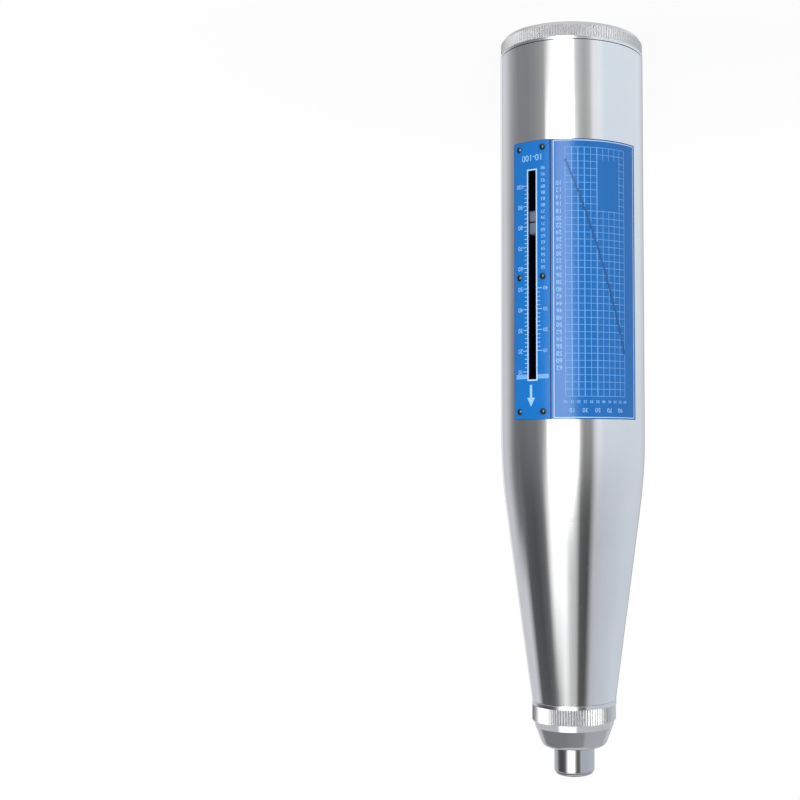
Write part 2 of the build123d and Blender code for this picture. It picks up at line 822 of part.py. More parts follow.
# Pointer blade: a bent leaf under the rider, reaching in towards the mass
blade_z = rider_z - blade_len / 2
with BuildPart() as pointer_blade:
    with BuildSketch(Plane.YZ.offset(-blade_w / 2)):
        with BuildLine():
            Polyline(
                (-rider_bottom_r, blade_z),
                (-rider_bottom_r + blade_t, blade_z),
                (-rider_bottom_r + blade_t, blade_z + blade_len - blade_t),
                (-blade_tip_r, blade_z + blade_len - blade_t),
                (-blade_tip_r, blade_z + blade_len),
                (-rider_bottom_r, blade_z + blade_len),
                close=True,
            )
        make_face()
    extrude(amount=blade_w)
finish(pointer_blade, "pointer_blade")

# Button bush: a flanged cup in the barrel wall, with a lip that keeps the button in
button_axis = Axis((0, 0, button_z), (0, 1, 0))
button_plane = Plane.XY.offset(button_z)
stem_r = button_stem_d / 2
head_r = button_head_d / 2
cup_r = button_collar_d / 2 + 2 * running_fit
with BuildPart() as button_bush:
    revolve(
        outline(
            button_plane,
            (stem_r + 2 * running_fit, bush_floor_r),
            (bush_d / 2, bush_floor_r),
            (bush_d / 2, bush_seat_r),
            (bush_rim_d / 2, bush_seat_r),
            (bush_rim_d / 2, bush_top_r - 2 * edge_break),
            (bush_rim_d / 2 - 2 * edge_break, bush_top_r),
            (head_r + 2 * running_fit, bush_top_r),
            (head_r + 2 * running_fit, bush_lip_r),
            (cup_r, bush_lip_r),
            (cup_r, bush_floor_r + bush_floor_t),
            (stem_r + 2 * running_fit, bush_floor_r + bush_floor_t),
        ),
        axis=button_axis,
    )
finish(button_bush, "button_bush")

# Push button: head, collar and the stem that drops in front of the flange
with BuildPart() as push_button:
    revolve(
        outline(
            button_plane,
            (0, button_stem_end_r),
            (stem_r, button_stem_end_r),
            (stem_r, button_collar_r),
            (button_collar_d / 2, button_collar_r),
            (button_collar_d / 2, button_collar_top_r),
            (head_r, button_collar_top_r),
            (head_r, button_top_r - 2 * edge_break),
            (head_r - 2 * edge_break, button_top_r),
            (0, button_top_r),
        ),
        axis=button_axis,
    )
finish(push_button, "push_button")

# Button spring: round the stem, from the bush's floor to the button's collar
button_spring_seat = facing(180, button_z).offset(button_spring_r + rest_gap)
button_spring_len = button_collar_r - button_spring_r - 2 * rest_gap
button_spring_mean_r = button_collar_d / 2 - running_fit - button_wire_d / 2
button_coil = coil(button_spring_mean_r, button_wire_d, button_spring_len, button_turns)
with BuildPart() as button_spring:
    with Locations(button_spring_seat.location):
        add(button_coil)
finish(button_spring, "button_spring")
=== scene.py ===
from math import cos, pi, radians, sin

import bmesh
import bpy
from mathutils import Matrix, Vector


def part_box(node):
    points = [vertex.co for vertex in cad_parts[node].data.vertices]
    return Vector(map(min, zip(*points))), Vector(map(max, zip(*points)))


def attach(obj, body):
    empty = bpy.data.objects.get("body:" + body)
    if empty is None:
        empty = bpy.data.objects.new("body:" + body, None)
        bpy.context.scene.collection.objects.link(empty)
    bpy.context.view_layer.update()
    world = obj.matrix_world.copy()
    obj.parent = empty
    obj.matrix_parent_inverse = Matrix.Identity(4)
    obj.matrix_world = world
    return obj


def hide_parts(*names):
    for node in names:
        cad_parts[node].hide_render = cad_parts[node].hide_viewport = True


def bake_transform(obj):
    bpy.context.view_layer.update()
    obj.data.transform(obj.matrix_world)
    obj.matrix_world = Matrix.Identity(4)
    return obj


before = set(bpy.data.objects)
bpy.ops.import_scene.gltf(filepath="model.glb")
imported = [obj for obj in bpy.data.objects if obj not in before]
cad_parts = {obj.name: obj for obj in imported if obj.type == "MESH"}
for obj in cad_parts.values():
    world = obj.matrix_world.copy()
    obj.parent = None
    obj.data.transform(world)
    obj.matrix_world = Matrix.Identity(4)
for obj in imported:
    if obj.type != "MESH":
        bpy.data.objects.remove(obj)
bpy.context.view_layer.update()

# A concrete rebound hammer standing on its rear cap, plunger up, in metres.
# Angles round the barrel count from the reading slot (-Y) towards the chart (-X).

MM = 0.001
MICRON = 0.001 * MM

# Places read from the frame
plate_low, plate_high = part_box("scale_plate")
_, cap_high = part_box("rear_cap")
nose_low, nose_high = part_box("nose_cap")
rider_low, rider_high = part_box("rider")
PLATE_R = -plate_low.y
CAP_R = cap_high.x
NOSE_R = nose_high.x
LABEL_REAR = plate_low.z
LABEL_FRONT = plate_high.z
RIDER_Z = (rider_low.z + rider_high.z) / 2

# Knurled bands on the caps
KNURL_DEPTH = 0.4 * MM
KNURL_RELIEF = 0.12 * MM
CAP_KNURL = (1.4 * MM, 5.6 * MM)
NOSE_KNURL = (nose_low.z + 1.5 * MM, nose_low.z + 7.2 * MM)
NOSE_CONE = nose_high.z - 7.4 * MM

# Labels: the chart's step below the scale plate, their sides in degrees, the seam between them where a shadow line is
# painted, the width of the painted shade along their edges
CHART_DROP = 0.4 * MM
CHART_R = PLATE_R - CHART_DROP
PLATE_SIDES = (-18.25, 14.85)
SHEET_SIDES = (15.07, 88.06)
SEAM_ANGLE = radians(14.96)
SEAM_HALF = 0.01
LABEL_EDGE = 0.16 * MM
EDGE_SHADE_NAVY = (0.006, 0.055, 0.20, 1)

# Reading slot, the rim of painted shade round it, and the black painted as shade in the bore and the slot
SLOT_REAR = 54.1 * MM
SLOT_FRONT = 129.5 * MM
SLOT_HALF = 1.5 * MM
SLOT_RIM = 0.15 * MM
BORE_SHADE_BLACK = (0.008, 0.018, 0.06, 1)

# Camera at the photograph's view: the hammer points down in the picture, so the camera is rolled over
CAMERA_TURN = radians(31.5)
CAMERA_AWAY = 0.4829
CAMERA_HEIGHT = 0.1583
CAMERA_AIM = 0.1360
CAMERA_LEAN = radians(-0.24)
CAMERA_LENS = 57.7
AXIS_COLUMN = 572.9 / 800


def shader_node(tree, kind, inputs=None, **settings):
    """Add a node, set its options, and set or link its inputs."""
    made = tree.nodes.new(kind)
    for name, value in settings.items():
        setattr(made, name, value)
    for socket, value in (inputs or {}).items():
        if isinstance(value, bpy.types.NodeSocket):
            tree.links.new(value, made.inputs[socket])
        else:
            made.inputs[socket].default_value = value
    return made


def math_node(tree, operation, *values):
    """One sum on values or sockets."""
    return shader_node(tree, "ShaderNodeMath", dict(enumerate(values)), operation=operation).outputs[0]


def blend_value(tree, factor, low, high):
    """A number between low and high by a factor from 0 to 1."""
    inputs = {"Value": factor, "To Min": low, "To Max": high}
    return shader_node(tree, "ShaderNodeMapRange", inputs).outputs["Result"]


def share_between(tree, value, low, high):
    """0 at the low limit, rising to 1 at the high one."""
    inputs = {"Value": value, "From Min": low, "From Max": high}
    return shader_node(tree, "ShaderNodeMapRange", inputs).outputs["Result"]


def blend_color(tree, factor, low, high):
    """A colour between two colours or sockets by a factor."""
    inputs = {"Factor": factor, 6: low, 7: high}
    return shader_node(tree, "ShaderNodeMix", inputs, data_type="RGBA").outputs[2]


def color_ramp(tree, factor, stops, interpolation="LINEAR"):
    """A ramp through (place, colour) stops."""
    made = shader_node(tree, "ShaderNodeValToRGB", {"Fac": factor})
    ramp = made.color_ramp
    ramp.interpolation = interpolation
    while len(ramp.elements) < len(stops):
        ramp.elements.new(1.0)
    for element, (place, color) in zip(ramp.elements, stops):
        element.position = place
        element.color = (*color, 1)
    return made.outputs["Color"]


def noise(tree, inputs, **settings):
    """The grey value of a noise."""
    return shader_node(tree, "ShaderNodeTexNoise", inputs, **settings).outputs["Fac"]


def object_place(tree):
    """A point's place in the shared frame."""
    return shader_node(tree, "ShaderNodeTexCoord").outputs["Object"]


def split_place(tree, place):
    """The X, Y and Z of a place."""
    return shader_node(tree, "ShaderNodeSeparateXYZ", {0: place}).outputs


def round_angle(tree, split):
    """The angle round the axis, from -Y towards -X."""
    side = math_node(tree, "MULTIPLY", split["X"], -1)
    ahead = math_node(tree, "MULTIPLY", split["Y"], -1)
    return math_node(tree, "ARCTAN2", side, ahead)


def off_axis(tree, split):
    """The vector from the axis to a point, and its length."""
    flat = shader_node(tree, "ShaderNodeCombineXYZ", {"X": split["X"], "Y": split["Y"]}).outputs[0]
    return flat, shader_node(tree, "ShaderNodeVectorMath", {0: flat}, operation="LENGTH").outputs["Value"]


# Camera

def place_camera():
    """The camera, rolled so that the plunger points down."""
    at = Vector((-CAMERA_AWAY * sin(CAMERA_TURN), -CAMERA_AWAY * cos(CAMERA_TURN), CAMERA_HEIGHT))
    forward = (Vector((0, 0, CAMERA_AIM)) - at).normalized()
    right = forward.cross(Vector((0, 0, -1))).normalized()
    up = right.cross(forward)
    turn = Matrix((right, up, -forward)).transposed() @ Matrix.Rotation(CAMERA_LEAN, 3, "Z")
    data = bpy.data.cameras.new("camera")
    data.lens = CAMERA_LENS
    data.sensor_width = 36
    data.shift_x = 0.5 - AXIS_COLUMN
    data.clip_start = 0.01
    camera = bpy.data.objects.new("camera", data)
    camera.matrix_world = Matrix.Translation(at) @ turn.to_4x4()
    bpy.context.scene.collection.objects.link(camera)
    bpy.context.scene.camera = camera


# Studio: bands of light and shade round the hammer, seen in its polished metal, on a white ground

def grey(value):
    """A faintly cool grey."""
    return (0.985 * value, value, 1.06 * value)


def plain(value):
    """A neutral grey."""
    return (value, value, value)


# Each band is an angle in degrees from the camera's side, and the light that comes from there.
# The sets follow one another from below the horizon upwards.
SKY_PALE = (0.72, 0.79, 0.85)
SOFTBOX = (5.0, 5.0, 5.0)
LOW_BANDS = [
    (-180, grey(0.58)), (-137, grey(0.66)), (-125, grey(0.52)), (-115, grey(0.38)), (-99, grey(0.24)),
    (-76, grey(0.23)), (-62, grey(0.26)), (-52, plain(0.31)), (-46, plain(0.36)), (-41, plain(0.60)),
    (-37, plain(0.92)), (-31, plain(1.15)), (-27, plain(2.2)), (-23, SOFTBOX), (-8, SOFTBOX), (-3, plain(4.5)),
    (1, plain(2.2)), (4, plain(0.90)), (6, plain(0.66)), (12, plain(0.50)), (20, plain(0.41)), (28, plain(0.50)),
    (34, grey(0.82)), (45, (0.84, 0.87, 0.90)), (54, SKY_PALE), (135, SKY_PALE), (150, (0.64, 0.67, 0.72)),
    (172, grey(0.5)), (180, grey(0.58)),
]
MID_BANDS = [
    (-180, grey(0.58)), (-132, grey(0.58)), (-121, grey(0.42)), (-112, grey(0.24)), (-104, grey(0.165)),
    (-92, grey(0.15)), (-72, grey(0.18)), (-60, grey(0.185)), (-50, plain(0.30)), (-44, plain(0.50)),
    (-39, plain(1.4)), (-36, plain(3.0)), (-31, SOFTBOX), (-2, SOFTBOX), (3, plain(2.6)), (7, plain(1.6)),
    (10, plain(1.0)), (13, plain(0.48)), (18, plain(0.29)), (29, plain(0.29)), (36, grey(0.70)), (41, grey(0.81)),
    (52, (0.67, 0.72, 0.80)), (135, (0.68, 0.73, 0.80)), (150, (0.60, 0.62, 0.68)), (172, grey(0.5)),
    (180, grey(0.58)),
]
HIGH_BANDS = [
    (-180, grey(0.58)), (-114, grey(0.62)), (-104, grey(0.38)), (-96, grey(0.10)), (-72, grey(0.075)),
    (-57, grey(0.125)), (-52, plain(0.22)), (-45, plain(0.80)), (-39, plain(1.15)), (-16, plain(1.15)),
    (-10, plain(0.76)), (-4, plain(0.60)), (4, plain(0.50)), (8, plain(0.32)), (12, plain(0.10)), (27, plain(0.075)),
    (33, grey(0.29)), (39, (0.49, 0.50, 0.54)), (60, (0.53, 0.56, 0.62)), (110, (0.60, 0.65, 0.72)),
    (150, (0.60, 0.64, 0.70)), (172, grey(0.5)), (180, grey(0.58)),
]
FORE_BANDS = [
    (-180, grey(0.58)), (-114, grey(0.62)), (-104, grey(0.38)), (-96, grey(0.10)), (-70, grey(0.08)),
    (-54, grey(0.115)), (-46, plain(0.20)), (-38, plain(0.42)), (-30, plain(0.65)), (-23, plain(0.84)),
    (-17, plain(0.76)), (-9, plain(0.57)), (0, plain(0.50)), (6, plain(0.43)), (11, plain(0.15)), (15, plain(0.09)),
    (26, plain(0.085)), (33, grey(0.19)), (38, grey(0.36)), (44, (0.50, 0.51, 0.55)), (60, (0.53, 0.56, 0.62)),
    (110, (0.60, 0.65, 0.72)), (150, (0.60, 0.64, 0.70)), (172, grey(0.5)), (180, grey(0.58)),
]
CREST_BANDS = [
    (-180, grey(0.56)), (-52, grey(0.56)), (-44, grey(1.4)), (3, grey(1.4)), (10, grey(0.56)), (180, grey(0.56)),
]
TOP_BANDS = [
    (-180, grey(0.42)), (-136, grey(0.42)), (-124, grey(0.21)), (-40, grey(0.22)), (0, grey(0.255)),
    (36, grey(0.265)), (46, (0.39, 0.40, 0.44)), (90, (0.42, 0.43, 0.47)), (180, grey(0.42)),
]
BACK_BANDS = [
    (-180, grey(0.13)), (-172, grey(0.15)), (-168, grey(0.70)), (-163, grey(1.05)), (-156, grey(0.66)),
    (156, grey(0.64)), (165, grey(0.45)), (171, grey(0.32)), (174, grey(0.13)), (180, grey(0.13)),
]
BELOW = (0.62, 0.62, 0.63, 1)
OVERHEAD = (0.56, 0.57, 0.60, 1)
# How much higher the sets begin towards the back
LEAN = 0.082

# Heights in degrees between which one set passes into the next
MID_RISE = (-17, 0)
HIGH_RISE = (0, 20)
UPPER_RISES = [(FORE_BANDS, (21, 26)), (CREST_BANDS, (27, 29.5)), (TOP_BANDS, (36, 40))]
OVERHEAD_RISE = (62, 70)
BELOW_RISE = (-50, -30)
# On the left the high set begins later
LEFT_RISE = (18, 21)
LEFT_TURN = (-88, -98)
# Angles to both sides between which the sets pass into the one behind the hammer
BACK_TURN = (153, 157)


def band_ramp(tree, turn, bands):
    """One set of bands as a ramp over a full turn."""
    return color_ramp(tree, turn, [((angle + 180) / 360, color) for angle, color in bands])


def light_world():
    """All the sets of bands in one world, with plain white behind the hammer."""
    world = bpy.data.worlds.new("studio")
    world.use_nodes = True
    bpy.context.scene.world = world
    tree = world.node_tree
    tree.nodes.clear()
    direction = shader_node(tree, "ShaderNodeTexCoord").outputs["Generated"]
    turned = shader_node(
        tree, "ShaderNodeVectorRotate", {"Vector": direction, "Angle": CAMERA_TURN}, rotation_type="Z_AXIS"
    ).outputs["Vector"]
    split = split_place(tree, turned)
    height = split["Z"]
    angle = round_angle(tree, split)
    turn = math_node(tree, "MULTIPLY_ADD", angle, 1 / (2 * pi), 0.5)
    raised = math_node(tree, "MULTIPLY_ADD", math_node(tree, "COSINE", angle), -LEAN, LEAN)
    raised = math_node(tree, "ADD", raised, height)

    def rise(value, limits):
        return share_between(tree, value, *[sin(radians(limit)) for limit in limits])

    def turned_past(value, limits):
        return share_between(tree, value, *[radians(limit) for limit in limits])

    def pass_into(share, before, after):
        return blend_color(tree, share, before, band_ramp(tree, turn, after))

    bands = pass_into(rise(height, MID_RISE), band_ramp(tree, turn, LOW_BANDS), MID_BANDS)
    left = turned_past(angle, LEFT_TURN)
    high = blend_value(tree, left, rise(raised, HIGH_RISE), rise(raised, LEFT_RISE))
    bands = pass_into(high, bands, HIGH_BANDS)
    for upper, limits in UPPER_RISES:
        bands = pass_into(rise(raised, limits), bands, upper)
    bands = pass_into(turned_past(math_node(tree, "ABSOLUTE", angle), BACK_TURN), bands, BACK_BANDS)
    bands = blend_color(tree, rise(height, OVERHEAD_RISE), bands, OVERHEAD)
    bands = blend_color(tree, rise(height, BELOW_RISE), BELOW, bands)
    rays = shader_node(tree, "ShaderNodeLightPath").outputs
    seen = math_node(tree, "MAXIMUM", rays["Is Camera Ray"], rays["Is Transmission Ray"])
    color = blend_color(tree, seen, bands, (1, 1, 1, 1))
    background = shader_node(tree, "ShaderNodeBackground", {"Color": color, "Strength": 1.0})
    shader_node(tree, "ShaderNodeOutputWorld", {"Surface": background.outputs[0]})


# Floor: white, with a glow over its shade, FLOOR_GLOW strong up to FLOOR_NEAR and full from FLOOR_FAR
FLOOR_SIZE = 8.0
FLOOR_WHITE = (0.9, 0.9, 0.9, 1)
FLOOR_GLOW = 0.9
FLOOR_NEAR = 0.05
FLOOR_FAR = 0.26


def lay_floor():
    """A white ground under the rear cap, not seen in the metal."""
    half = FLOOR_SIZE / 2
    mesh = bpy.data.meshes.new("floor")
    mesh.from_pydata([(-half, -half, 0), (half, -half, 0), (half, half, 0), (-half, half, 0)], [], [(0, 1, 2, 3)])
    floor = bpy.data.objects.new("floor", mesh)
    bpy.context.scene.collection.objects.link(floor)
    floor.visible_glossy = False
    material = bpy.data.materials.new("white_ground")
    material.use_nodes = True
    tree = material.node_tree
    tree.nodes.clear()
    rays = shader_node(tree, "ShaderNodeLightPath").outputs
    seen = math_node(tree, "MAXIMUM", rays["Is Camera Ray"], rays["Is Glossy Ray"])
    seen = math_node(tree, "MAXIMUM", seen, rays["Is Transmission Ray"])
    away = {0: object_place(tree)}
    away = shader_node(tree, "ShaderNodeVectorMath", away, operation="LENGTH").outputs["Value"]
    fade = {"Value": away, "From Min": FLOOR_NEAR, "From Max": FLOOR_FAR, "To Min": FLOOR_GLOW}
    fade = shader_node(tree, "ShaderNodeMapRange", fade, interpolation_type="SMOOTHSTEP").outputs["Result"]
    share = math_node(tree, "MULTIPLY", seen, fade)
    paint = shader_node(tree, "ShaderNodeBsdfDiffuse", {"Color": FLOOR_WHITE}).outputs[0]
    glow = shader_node(tree, "ShaderNodeEmission", {"Color": (1, 1, 1, 1), "Strength": 1.0}).outputs[0]
    mixed = shader_node(tree, "ShaderNodeMixShader", {0: share, 1: paint, 2: glow}).outputs[0]
    shader_node(tree, "ShaderNodeOutputMaterial", {"Surface": mixed})
    mesh.materials.append(material)


LAMP_AIM = (0, 0, 0.14)


def hang_lamp(name, at, size, power):
    """A round lamp aimed at the barrel's middle, not seen in the metal."""
    data = bpy.data.lights.new(name, "AREA")
    data.shape = "DISK"
    data.size = size
    data.energy = power
    lamp = bpy.data.objects.new(name, data)
    lamp.location = at
    lamp.rotation_mode = "QUATERNION"
    lamp.rotation_quaternion = (Vector(LAMP_AIM) - Vector(at)).to_track_quat("-Z", "Y")
    lamp.visible_glossy = False
    bpy.context.scene.collection.objects.link(lamp)


# Shared surface effects

def new_group(name, inputs, outputs):
    """A shader node group with value inputs and outputs, and its two end nodes."""
    tree = bpy.data.node_groups.new(name, "ShaderNodeTree")
    for label, value in inputs.items():
        socket = tree.interface.new_socket(label, in_out="INPUT", socket_type="NodeSocketFloat")
        socket.default_value = value
    for label in outputs:
        tree.interface.new_socket(label, in_out="OUTPUT", socket_type="NodeSocketFloat")
    return tree, tree.nodes.new("NodeGroupInput").outputs, tree.nodes.new("NodeGroupOutput")


def make_round_axis():
    """A point's place round the barrel: radius, angle from the slot, height, and how far it faces outwards."""
    tree, _, result = new_group("round_axis", {}, ["Radius", "Angle", "Height", "Facing"])
    coords = shader_node(tree, "ShaderNodeTexCoord").outputs
    split = split_place(tree, coords["Object"])
    flat, radius = off_axis(tree, split)
    out = shader_node(tree, "ShaderNodeVectorMath", {0: flat}, operation="NORMALIZE").outputs[0]
    facing = shader_node(tree, "ShaderNodeVectorMath", {0: out, 1: coords["Normal"]}, operation="DOT_PRODUCT")
    tree.links.new(radius, result.inputs["Radius"])
    tree.links.new(round_angle(tree, split), result.inputs["Angle"])
    tree.links.new(split["Z"], result.inputs["Height"])
    tree.links.new(facing.outputs["Value"], result.inputs["Facing"])
    return tree


# Broad rings per mm, and their share in the relief
BROAD_RINGS = 0.35
BROAD_SHARE = 0.6


def make_turning_marks():
    """Fine rings left by the lathe round the barrel's axis, over broader ones."""
    tree, given, result = new_group("turning_marks", {"Rings per mm": 5.0}, ["Height", "Patches"])
    split = split_place(tree, object_place(tree))
    run = math_node(tree, "ADD", split["Z"], off_axis(tree, split)[1])
    run = math_node(tree, "MULTIPLY", run, 1 / MM)
    fine = math_node(tree, "MULTIPLY", run, given["Rings per mm"])
    rings = noise(tree, {"W": fine, "Scale": 1.0, "Detail": 2.0}, noise_dimensions="1D")
    broad = noise(tree, {"W": run, "Scale": BROAD_RINGS, "Detail": 3.0}, noise_dimensions="1D")
    tree.links.new(math_node(tree, "MULTIPLY_ADD", broad, BROAD_SHARE, rings), result.inputs["Height"])
    tree.links.new(broad, result.inputs["Patches"])
    return tree


# Parts of the noise that show as smears and as scratches, and how the scratches run
SMEAR_LIMITS = (0.42, 0.72)
SCRATCH_LIMITS = (0.70, 0.80)
SCRATCH_TURN = (0.3, 0.2, 0.0)
SCRATCH_SCALE = (2600, 2600, 60)


def make_handling():
    """Soft finger smears and sparse hair scratches along the barrel."""
    tree, given, result = new_group("handling", {"Smear size mm": 14.0}, ["Smears", "Scratches"])
    place = object_place(tree)
    scale = math_node(tree, "DIVIDE", 1 / MM, given["Smear size mm"])
    smears = noise(tree, {"Vector": place, "Scale": scale, "Detail": 4.0, "Roughness": 0.55})
    stretched = {"Vector": place, "Rotation": SCRATCH_TURN, "Scale": SCRATCH_SCALE}
    stretched = shader_node(tree, "ShaderNodeMapping", stretched).outputs[0]
    hairs = noise(tree, {"Vector": stretched, "Scale": 1.0, "Detail": 1.0})
    tree.links.new(share_between(tree, smears, *SMEAR_LIMITS), result.inputs["Smears"])
    tree.links.new(share_between(tree, hairs, *SCRATCH_LIMITS), result.inputs["Scratches"])
    return tree


# Clouds of colour per metre
CLOUD_SCALE = 90.0


def make_grain():
    """Fine grain of a painted, moulded or blasted surface."""
    tree, given, result = new_group("grain", {"Grain mm": 0.3}, ["Height", "Clouds"])
    place = object_place(tree)
    scale = math_node(tree, "DIVIDE", 1 / MM, given["Grain mm"])
    fine = noise(tree, {"Vector": place, "Scale": scale, "Detail": 3.0})
    tree.links.new(fine, result.inputs["Height"])
    clouds = noise(tree, {"Vector": place, "Scale": CLOUD_SCALE, "Detail": 4.0})
    tree.links.new(clouds, result.inputs["Clouds"])
    return tree


ROUND = make_round_axis()
TURNING = make_turning_marks()
HANDLING = make_handling()
GRAIN = make_grain()


def effect(tree, group, **values):
    """Place a shared effect in a material and return its outputs."""
    made = tree.nodes.new("ShaderNodeGroup")
    made.node_tree = group
    for name, value in values.items():
        made.inputs[name.replace("_", " ")].default_value = value
    return made.outputs


def bump(tree, height, depth):
    """A normal with a relief of some depth in metres."""
    inputs = {"Height": height, "Distance": depth, "Strength": 1.0}
    return shader_node(tree, "ShaderNodeBump", inputs).outputs["Normal"]


def new_material(name):
    """A material with one surface, its nodes and the surface's inputs."""
    material = bpy.data.materials.new(name)
    material.use_nodes = True
    tree = material.node_tree
    tree.nodes.clear()
    surface = tree.nodes.new("ShaderNodeBsdfPrincipled")
    shader_node(tree, "ShaderNodeOutputMaterial", {"Surface": surface.outputs[0]})
    return material, tree, surface.inputs


def between(tree, value, low, high):
    """1 where a value lies between two limits, else 0."""
    return math_node(
        tree, "MULTIPLY", math_node(tree, "GREATER_THAN", value, low), math_node(tree, "LESS_THAN", value, high)
    )


def connect(tree, socket, value):
    """Feed an input from a socket, in place of what fed it before."""
    tree.links.new(value, socket)


# Materials

# Metals: colour, worn colour, roughness, rings per mm, depth of the rings and what smears add to the roughness
METALS = {
    "polished_barrel": ((0.91, 0.915, 0.92), (0.85, 0.86, 0.87), 0.045, 5.0, 1.0 * MICRON, 0.025),
    "turned_cap": ((0.90, 0.90, 0.90), (0.80, 0.80, 0.80), 0.10, 4.0, 1.5 * MICRON, 0.04),
    "nose_finish": ((0.86, 0.86, 0.86), (0.76, 0.76, 0.76), 0.06, 4.0, 1.0 * MICRON, 0.03),
    "chromed_rod": ((0.66, 0.665, 0.67), (0.58, 0.585, 0.59), 0.05, 6.0, 1.0 * MICRON, 0.03),
    "machined_steel": ((0.56, 0.56, 0.55), (0.42, 0.41, 0.40), 0.24, 3.0, 4.0 * MICRON, 0.05),
    "spring_wire": ((0.42, 0.41, 0.40), (0.30, 0.29, 0.28), 0.28, 2.0, 3.0 * MICRON, 0.05),
    "screw_steel": ((0.07, 0.10, 0.115), (0.05, 0.07, 0.08), 0.08, 6.0, 1.0 * MICRON, 0.02),
    "blackened_steel": ((0.045, 0.046, 0.05), (0.10, 0.10, 0.105), 0.26, 6.0, 3.0 * MICRON, 0.05),
}
# How much smears turn a metal to its worn colour, and scratches dull it
SMEAR_WEAR = 0.5
SCRATCH_DULL = 0.12


def bare_metal(name):
    """A turned and polished metal: rings, smears and hair scratches on a reflecting surface."""
    color, worn_color, gloss, rings, ring_depth, smear = METALS[name]
    material, tree, surface = new_material(name)
    marks = effect(tree, TURNING, Rings_per_mm=rings)
    hands = effect(tree, HANDLING)
    surface["Metallic"].default_value = 1.0
    wear = math_node(tree, "MULTIPLY", hands["Smears"], SMEAR_WEAR)
    connect(tree, surface["Base Color"], blend_color(tree, wear, (*color, 1), (*worn_color, 1)))
    rough = math_node(tree, "MULTIPLY_ADD", hands["Smears"], smear, gloss)
    rough = math_node(tree, "MULTIPLY_ADD", marks["Patches"], smear, rough)
    rough = math_node(tree, "MULTIPLY_ADD", hands["Scratches"], SCRATCH_DULL, rough)
    connect(tree, surface["Roughness"], rough)
    connect(tree, surface["Normal"], bump(tree, marks["Height"], ring_depth))
    return material, tree, surface


def plain_metal(name):
    """A metal with nothing added to it."""
    return bare_metal(name)[0]


def feeding(socket):
    """The socket that feeds an input."""
    return socket.links[0].from_socket


# A face is bright where it faces outwards by more than -FACING_LIMIT, or FACING_LIMIT within SLOT_TURN of the slot;
# other faces, in the bore and on the slot's walls, get painted black shade
FACING_LIMIT = 0.3
SLOT_TURN = 0.12
BORE_ROUGH = 0.6


def polished_barrel():
    """Bright outside, with painted black shade in the bore and the slot, and a painted shadow line in the seam between
    the labels.
    """
    material, tree, surface = bare_metal("polished_barrel")
    place = effect(tree, ROUND)
    slot_side = between(tree, place["Angle"], -SLOT_TURN, SLOT_TURN)
    limit = math_node(tree, "MULTIPLY_ADD", slot_side, 2 * FACING_LIMIT, -FACING_LIMIT)
    outside = math_node(tree, "GREATER_THAN", place["Facing"], limit)
    # Painted shadow: a thin dark navy line on the bare barrel in the gap between the scale plate and the chart
    seam_shadow = between(tree, place["Angle"], SEAM_ANGLE - SEAM_HALF, SEAM_ANGLE + SEAM_HALF)
    seam_shadow = math_node(tree, "MULTIPLY", seam_shadow, between(tree, place["Height"], LABEL_REAR, LABEL_FRONT))
    # Painted shade: faces in the bore and on the slot's walls are coloured black instead of bright metal
    metal = blend_color(tree, outside, BORE_SHADE_BLACK, feeding(surface["Base Color"]))
    connect(tree, surface["Base Color"], blend_color(tree, seam_shadow, metal, EDGE_SHADE_NAVY))
    connect(tree, surface["Roughness"], blend_value(tree, outside, BORE_ROUGH, feeding(surface["Roughness"])))
    return material


def shade_knurl(tree, surface, crest, ends, satin, groove_shade, crest_share):
    """Paint shade on the floors of a straight knurl between two heights, and on its crests by a share, and dull all of
    it.
    """
    place = effect(tree, ROUND)
    top = share_between(tree, place["Radius"], crest - KNURL_DEPTH, crest - 0.5 * KNURL_DEPTH)
    zone = between(tree, place["Height"], *ends)
    # Painted shade: the knurl's floors, and its crests by a share, take the darker groove colour
    groove = math_node(tree, "MULTIPLY", zone, blend_value(tree, top, 1.0, crest_share))
    connect(tree, surface["Base Color"], blend_color(tree, groove, feeding(surface["Base Color"]), groove_shade))
    rough = math_node(tree, "MULTIPLY_ADD", zone, satin, feeding(surface["Roughness"]))
    connect(tree, surface["Roughness"], rough)
    return place


# Knurls: what they add to the roughness, the colour of the shade painted in the grooves and the crests' share of it
CAP_SHADE = (0.63, (0.68, 0.68, 0.69, 1), 0.4)
NOSE_SHADE = (0.30, (0.30, 0.30, 0.31, 1), 0.0)
CONE_SATIN = 0.03


def turned_cap():
    """Bright bands and a dull knurl with painted shade in its grooves."""
    material, tree, surface = bare_metal("turned_cap")
    shade_knurl(tree, surface, CAP_R - KNURL_RELIEF, CAP_KNURL, *CAP_SHADE)
    return material


def nose_finish():
    """Polished bands and knurl with painted shade in its grooves, and a satin cone towards the mouth."""
    material, tree, surface = bare_metal("nose_finish")
    place = shade_knurl(tree, surface, NOSE_R - KNURL_RELIEF, NOSE_KNURL, *NOSE_SHADE)
    on_cone = math_node(tree, "GREATER_THAN", place["Height"], NOSE_CONE)
    rough = math_node(tree, "MULTIPLY_ADD", on_cone, CONE_SATIN, feeding(surface["Roughness"]))
    connect(tree, surface["Roughness"], rough)
    return material


# Lacquer: how far a face has to face outwards to be blue rather than painted edge shade, what smears and scratches
# add, and the clear coat
LABEL_FACING = 0.6
LABEL_SMEAR = 0.06
LABEL_SCRATCH = 0.1
COAT_ROUGH = 0.2
COAT_IOR = 1.5


